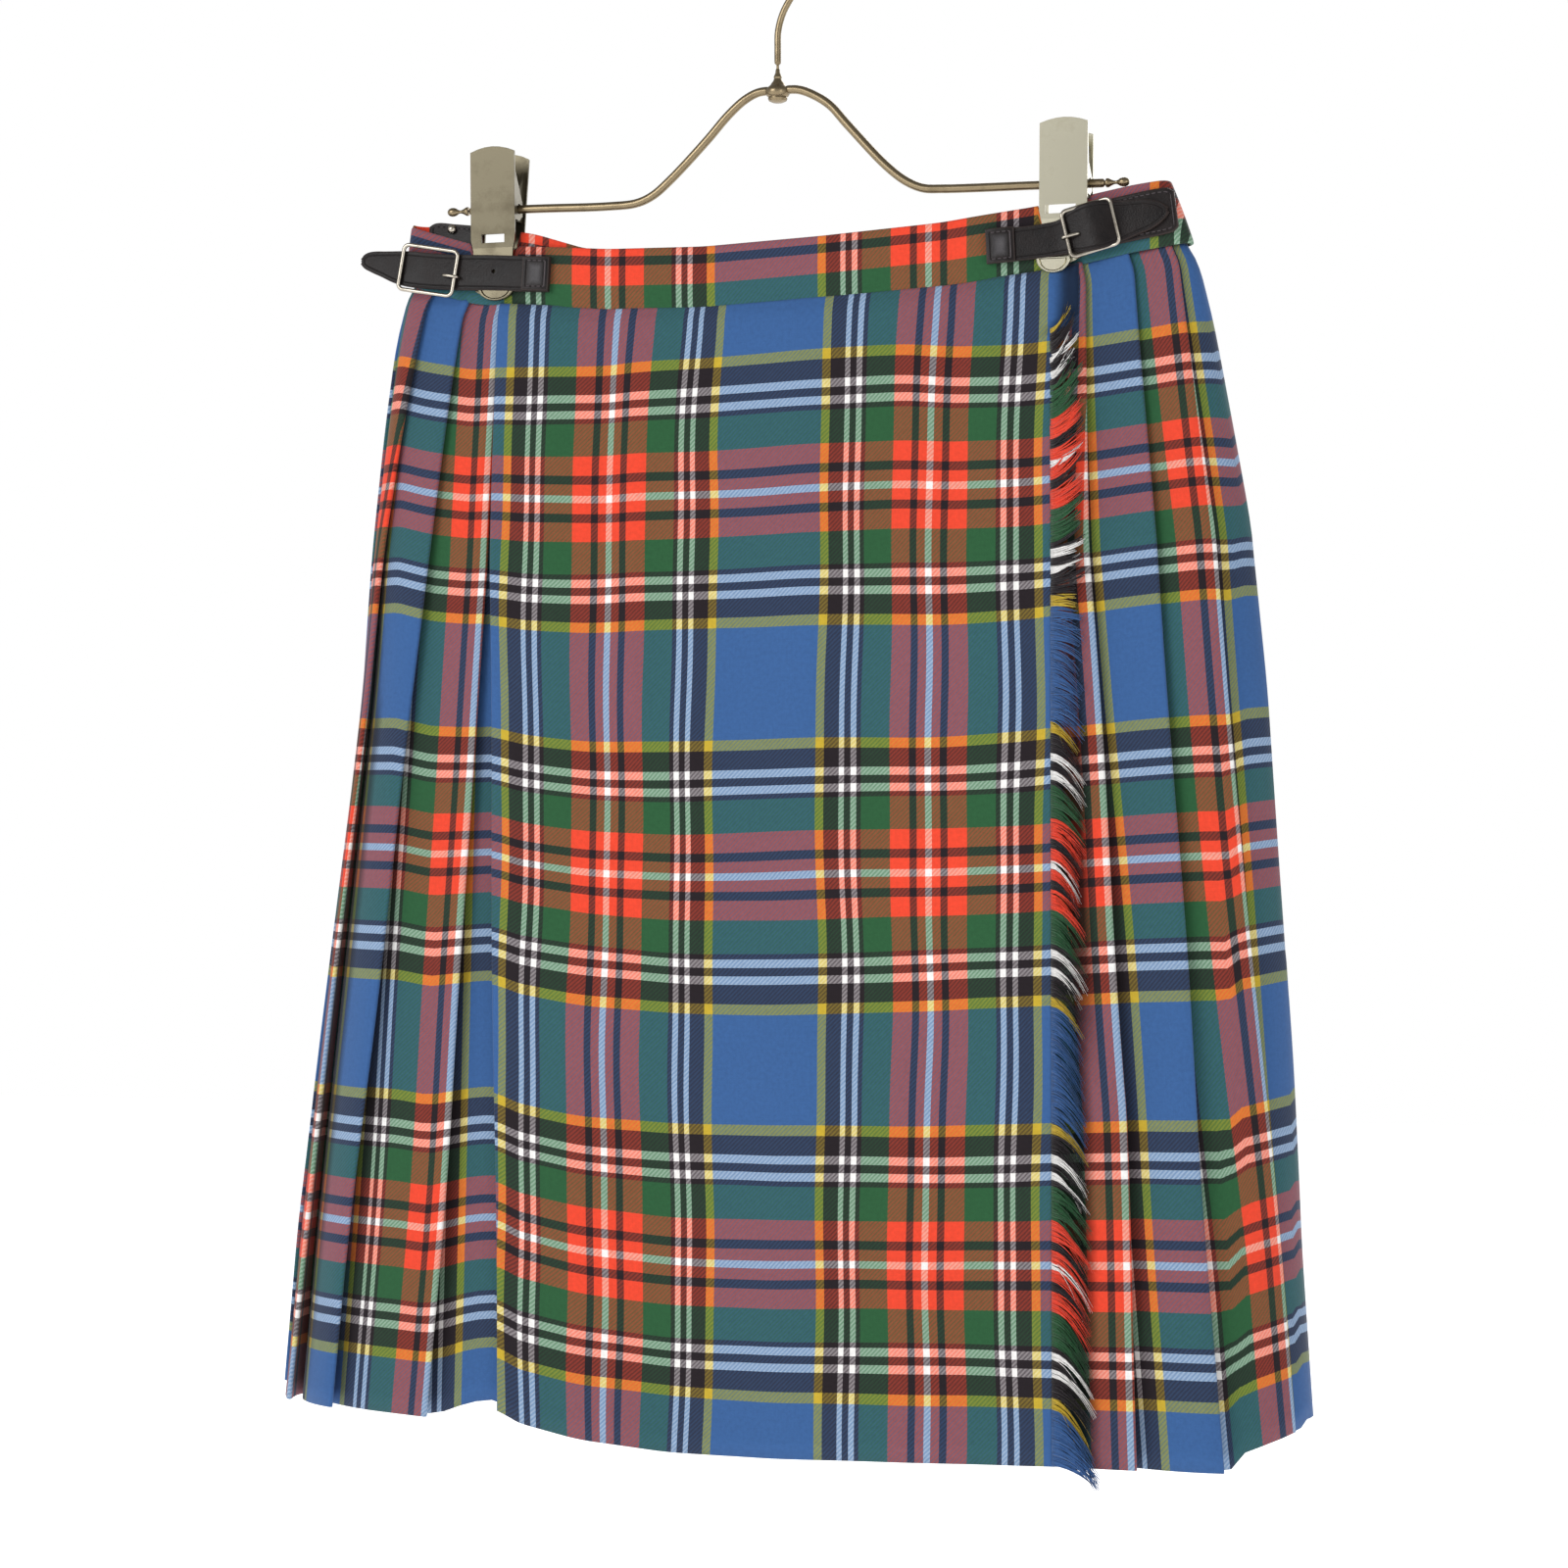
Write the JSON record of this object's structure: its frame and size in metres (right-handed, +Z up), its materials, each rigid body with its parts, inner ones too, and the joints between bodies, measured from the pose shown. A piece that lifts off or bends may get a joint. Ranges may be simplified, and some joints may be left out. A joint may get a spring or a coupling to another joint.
{
  "type": "pleated wrap skirt on a clip hanger",
  "caption": "Kilt-style tartan wrap skirt with knife pleats, a fringed over apron and leather buckle straps, held flat by a wire clip hanger.",
  "frame": {"origin": "the underside of the top of the hanger's hook, where it rests on a rail", "axes": "+Z up, +X to the right as seen from the front, -Y to the front where the over apron lies"},
  "size_m": [0.4992, 0.1166, 0.7277],
  "materials": {
    "tartan": "wool twill woven in a blue, green, red, black, white and yellow tartan",
    "fringe_wool": "loose wool yarn in the colours of the cloth",
    "leather": "semi-gloss black-brown grain leather",
    "buckle_metal": "worn nickel plate over brass",
    "hanger_wire": "antique brass, darkened and lacquered",
    "clip_sheet": "satin antique brass sheet"
  },
  "bodies": {
    "root": {"over_apron": "tartan", "fringe": "fringe_wool", "under_apron": "tartan", "pleats_right": "tartan", "pleats_back": "tartan", "pleats_left": "tartan", "waistband_front": "tartan", "waistband_back": "tartan", "waistband_under": "tartan", "strap_left": "leather", "strap_right": "leather", "patch_left": "leather", "patch_right": "leather", "chape_right": "leather", "inner_tab": "leather", "inner_stud": "buckle_metal", "buckle_left": "buckle_metal", "buckle_right": "buckle_metal", "prong_left": "buckle_metal", "prong_right": "buckle_metal", "hanger_wire_left": "hanger_wire", "hanger_wire_right": "hanger_wire", "hanger_ball": "hanger_wire", "hanger_hook": "hanger_wire", "finial_left": "hanger_wire", "finial_right": "hanger_wire", "clip_left_front": "clip_sheet", "clip_left_back": "clip_sheet", "clip_right_front": "clip_sheet", "clip_right_back": "clip_sheet"}
  },
  "joints": []
}
